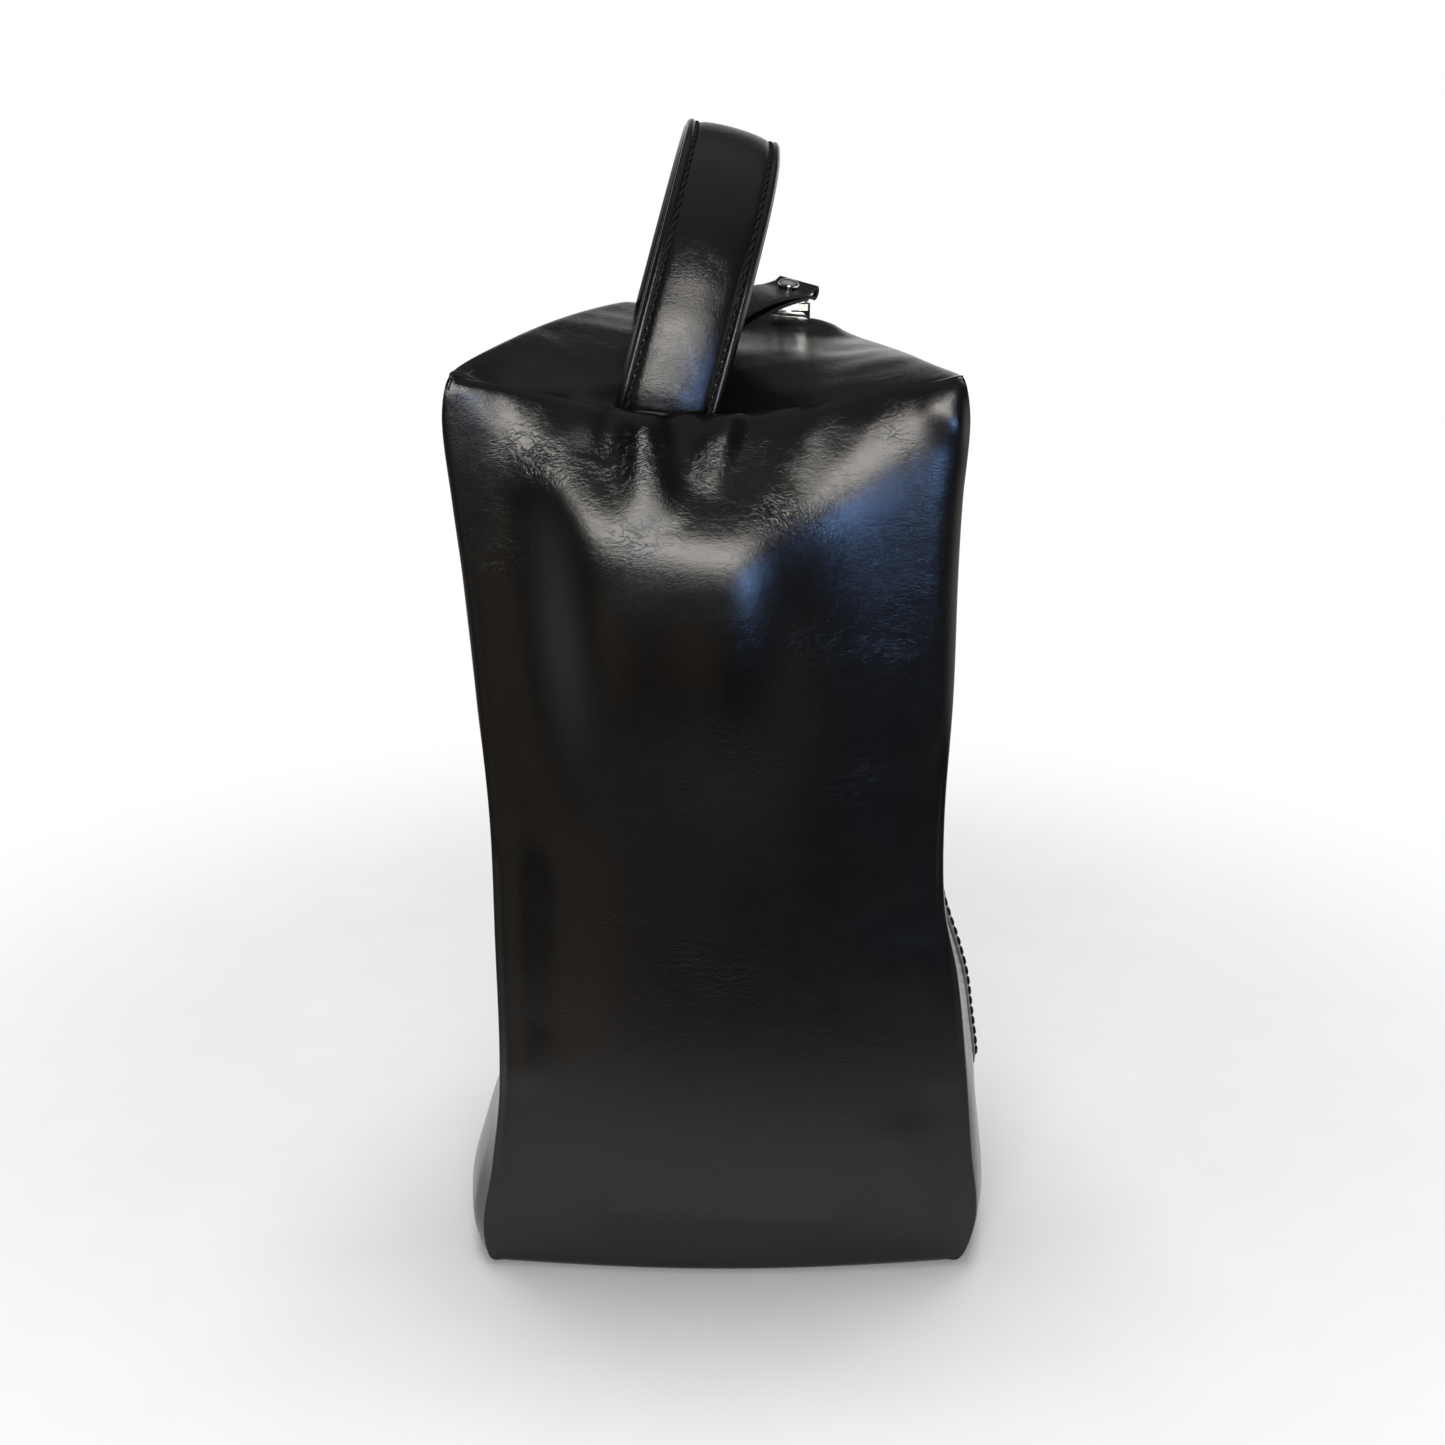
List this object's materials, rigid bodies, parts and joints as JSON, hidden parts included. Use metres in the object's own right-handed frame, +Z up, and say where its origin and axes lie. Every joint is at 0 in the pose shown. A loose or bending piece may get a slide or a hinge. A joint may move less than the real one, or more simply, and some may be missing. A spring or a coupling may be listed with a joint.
{
  "type": "wash bag",
  "caption": "Zipped leather wash bag standing on one end, with a carry strap across the upper end and a riveted leather pull on the zip.",
  "frame": {"origin": "middle of the end it stands on, at floor level", "axes": "+Z up along the bag's length, -Y out of the broad base panel, +Y towards the zip, +X towards the slip pocket's side"},
  "size_m": [0.1502, 0.146, 0.316],
  "materials": {
    "leather": "near-black grained leather, satin gloss",
    "strap": "near-black smooth leather, satin gloss",
    "foam": "thin grey foam backing, matt, hidden",
    "lining": "black woven lining, matt",
    "tape": "black woven zip tape",
    "chrome": "bright plated metal",
    "webbing": "dark reinforcing webbing inside the strap"
  },
  "bodies": {
    "bag": {"base_panel": "leather", "left_side_panel": "leather", "right_side_panel": "leather", "lower_end_panel": "leather", "upper_end_panel": "leather", "zip_panel_left": "leather", "zip_panel_right": "leather", "side_pocket_panel": "leather", "base_padding": "foam", "lining": "lining", "zip_tape_left": "tape", "zip_tape_right": "tape", "zip_teeth_left": "chrome", "zip_teeth_right": "chrome", "zip_bottom_stop": "chrome", "zip_top_stop_left": "chrome", "zip_top_stop_right": "chrome"},
    "carry_strap": {"strap_face": "strap", "strap_core": "webbing", "strap_backing": "strap"},
    "zip_slider": {"zip_slider": "chrome"},
    "pull_loop": {"pull_loop": "chrome"},
    "pull_tab": {"pull_tab": "leather", "rivet_cap": "chrome", "rivet_post": "chrome"}
  },
  "joints": [
    {"name": "zip_slide", "type": "slide", "parent": "bag", "child": "zip_slider", "axis": [0, 0, -1], "range_m": [0, 0.236], "deforming": ["zip_teeth_left", "zip_teeth_right", "zip_tape_left", "zip_tape_right", "pull_tab"]},
    {"name": "loop_swing", "type": "hinge", "parent": "zip_slider", "child": "pull_loop", "pos_m": [0.0205, 0.06765, 0.25099], "axis": [-0.8712, 0.4559, 0.1823], "range_deg": [0, 150]},
    {"name": "tab_swing", "type": "hinge", "parent": "pull_loop", "child": "pull_tab", "pos_m": [0.023, 0.06797, 0.2621], "axis": [-0.8712, 0.4559, 0.1823], "range_deg": [0, 100]},
    {"name": "strap_lean", "type": "hinge", "parent": "bag", "child": "carry_strap", "pos_m": [-0.0112, -0.048, 0.25795], "axis": [0.0194, 0.9931, 0.1161], "range_deg": [-38, 12], "stiffness_Nm_per_rad": 0.15}
  ]
}
